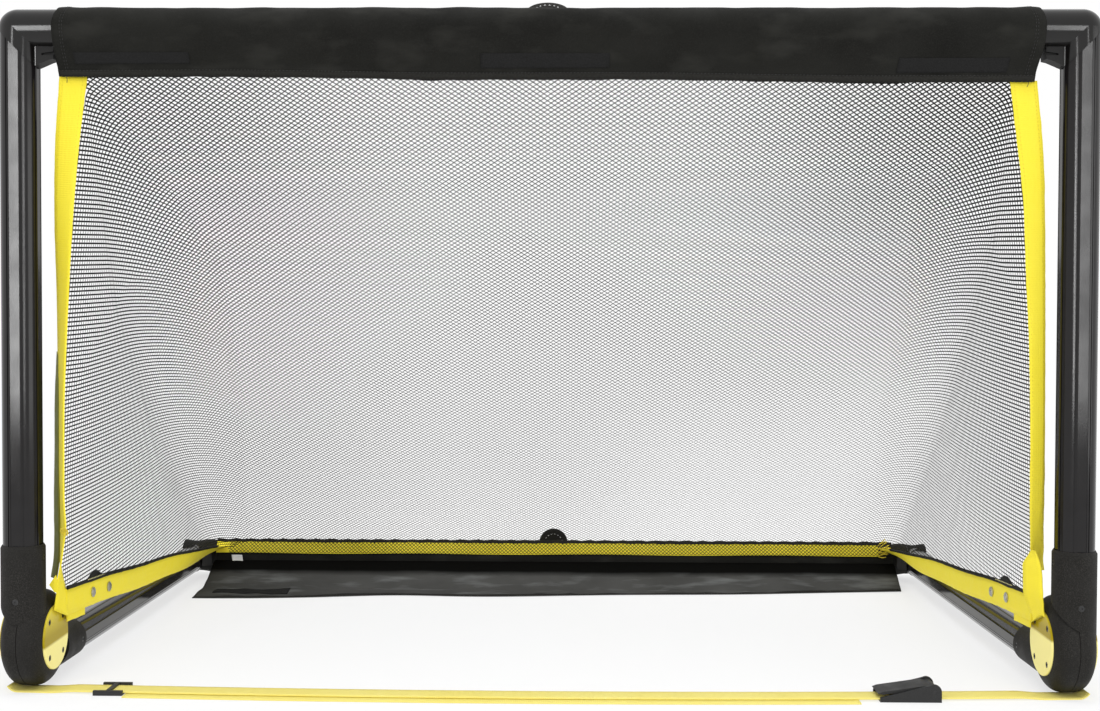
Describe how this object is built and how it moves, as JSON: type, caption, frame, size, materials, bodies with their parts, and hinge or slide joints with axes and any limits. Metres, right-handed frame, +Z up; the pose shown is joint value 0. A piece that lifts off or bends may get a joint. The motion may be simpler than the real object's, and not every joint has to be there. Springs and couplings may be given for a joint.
{
  "type": "folding lawn goal",
  "caption": "Folding lawn goal: two tube U frames on half-lap hinges, with a sloped net, cloth sleeves, webbing bands and a cam-buckle ground strap.",
  "frame": {"origin": "on the ground, midway between the left and right feet and midway between the strap's front edge and the rear sleeve", "axes": "+X to the right along the crossbar seen from the front, +Y from the goal mouth to the rear bar, +Z up"},
  "size_m": [1.199, 0.7576, 0.7749],
  "materials": {
    "tube": "black anodised, satin, with flat channels",
    "elbow": "black moulded, smooth gloss",
    "knuckle": "dark grey moulded, fine matt texture",
    "cap": "yellow, mirror gloss",
    "screw": "black countersunk screws",
    "steel": "plain zinc-plated steel",
    "cloth": "black matt woven polyester",
    "coated_cloth": "grey coated inner side with a soft sheen",
    "webbing": "yellow woven webbing",
    "hook_tape": "black hook tape",
    "net": "black knitted diamond mesh",
    "buckle": "black moulded buckle plastic"
  },
  "bodies": {
    "base_frame": {"left_arm": "tube", "right_arm": "tube", "rear_bar": "tube", "left_rear_elbow": "elbow", "right_rear_elbow": "elbow", "left_arm_knuckle": "knuckle", "right_arm_knuckle": "knuckle", "base_socket_screws": "screw", "right_hinge_cap": "cap", "left_outer_cap": "cap", "base_cap_screws": "screw", "left_pivot_bolt": "steel", "right_pivot_bolt": "steel", "pivot_nuts": "steel", "thrust_washers": "steel", "rear_sleeve": "cloth", "rear_flap": "coated_cloth", "flap_hook_strip": "hook_tape", "left_corner_patch": "cloth", "right_corner_patch": "cloth", "rear_loop": "cloth", "rear_hem_band": "webbing", "left_floor_band": "webbing", "right_floor_band": "webbing", "band_snaps": "steel", "ground_strap": "webbing", "left_strap_end": "webbing", "right_strap_end": "webbing", "strap_tail": "webbing", "strap_slider": "buckle", "buckle_frame": "buckle", "buckle_pin": "steel", "net_back": "net", "net_left": "net", "net_right": "net"},
    "front_frame": {"left_post": "tube", "right_post": "tube", "crossbar": "tube", "left_top_elbow": "elbow", "right_top_elbow": "elbow", "left_post_knuckle": "knuckle", "right_post_knuckle": "knuckle", "front_socket_screws": "screw", "left_hinge_cap": "cap", "right_outer_cap": "cap", "front_cap_screws": "screw", "stop_pins": "steel", "crossbar_sleeve": "cloth", "crossbar_loop": "cloth", "left_side_band": "webbing", "right_side_band": "webbing"},
    "buckle_lever": {"cam_lever": "buckle"}
  },
  "joints": [
    {"name": "fold", "type": "hinge", "parent": "base_frame", "child": "front_frame", "pos_m": [0, -0.3168, 0.0552], "axis": [-1, 0, 0], "range_deg": [0, 90], "deforming": ["net_back", "net_left", "net_right", "left_floor_band", "right_floor_band", "rear_loop", "left_side_band", "right_side_band"]},
    {"name": "cam_release", "type": "hinge", "parent": "base_frame", "child": "buckle_lever", "pos_m": [0.42014, -0.34401, 0.0115], "axis": [0, 1, 0], "range_deg": [0, 95]}
  ]
}
